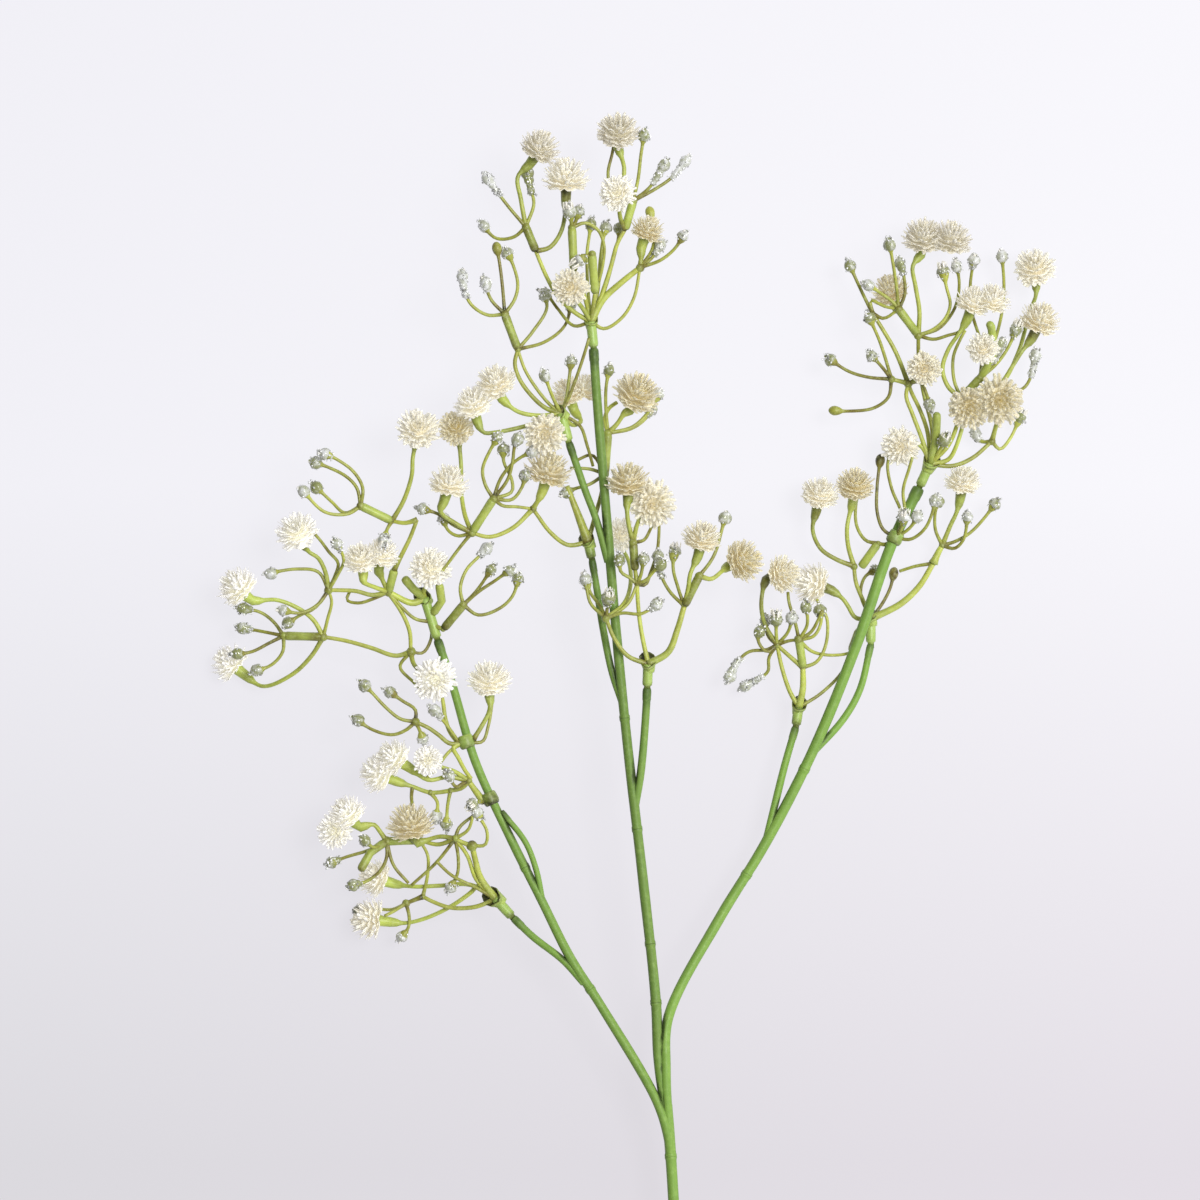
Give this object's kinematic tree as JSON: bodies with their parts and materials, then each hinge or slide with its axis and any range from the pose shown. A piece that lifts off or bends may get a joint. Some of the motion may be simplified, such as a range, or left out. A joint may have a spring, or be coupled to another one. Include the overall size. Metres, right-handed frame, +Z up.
{
  "type": "gypsophila stem",
  "caption": "Branched gypsophila (baby's breath) stem with sprays of layered fringed white blooms and pale green buds, lying flat, for a vase, bouquet or garland",
  "frame": {"origin": "Centre of the bounding box in plan, on the surface that the stem lies on (its lowest point).", "axes": "+Y runs up the stem from the cut end towards the flowers, +Z is up from the surface, +X is to the right seen from above with the flowers away from the viewer."},
  "size_m": [0.3218, 0.5993, 0.0555],
  "materials": {
    "stem": "satin moulded green plastic",
    "spray": "satin moulded yellow-green plastic",
    "petal": "thin cream petal film, matt"
  },
  "bodies": {
    "root": {"bloom_01": "petal", "bloom_02": "petal", "bloom_03": "petal", "bloom_04": "petal", "bloom_05": "petal", "bloom_06": "petal", "bloom_07": "petal", "bloom_08": "petal", "bloom_09": "petal", "bloom_10": "petal", "bloom_11": "petal", "bloom_12": "petal", "bloom_13": "petal", "bloom_14": "petal", "bloom_15": "petal", "bloom_16": "petal", "bloom_17": "petal", "bloom_18": "petal", "bloom_19": "petal", "bloom_20": "petal", "bloom_21": "petal", "bloom_22": "petal", "bloom_23": "petal", "bloom_24": "petal", "bloom_25": "petal", "bloom_26": "petal", "bloom_27": "petal", "bloom_28": "petal", "bloom_29": "petal", "bloom_30": "petal", "bloom_31": "petal", "bloom_32": "petal", "bloom_33": "petal", "bloom_34": "petal", "bloom_35": "petal", "bloom_36": "petal", "bloom_37": "petal", "bloom_38": "petal", "bloom_39": "petal", "bloom_40": "petal", "bloom_41": "petal", "bloom_42": "petal", "bloom_43": "petal", "bloom_44": "petal", "bloom_45": "petal", "bloom_46": "petal", "bloom_47": "petal", "sprig_centre_left": "spray", "sprig_centre_middle": "spray", "sprig_centre_right": "spray", "sprig_centre_top": "spray", "sprig_left_bottom": "spray", "sprig_left_lower": "spray", "sprig_left_middle": "spray", "sprig_left_top": "spray", "sprig_right_lower": "spray", "sprig_right_middle": "spray", "sprig_right_side": "spray", "sprig_right_top": "spray", "stem": "stem"}
  },
  "joints": []
}
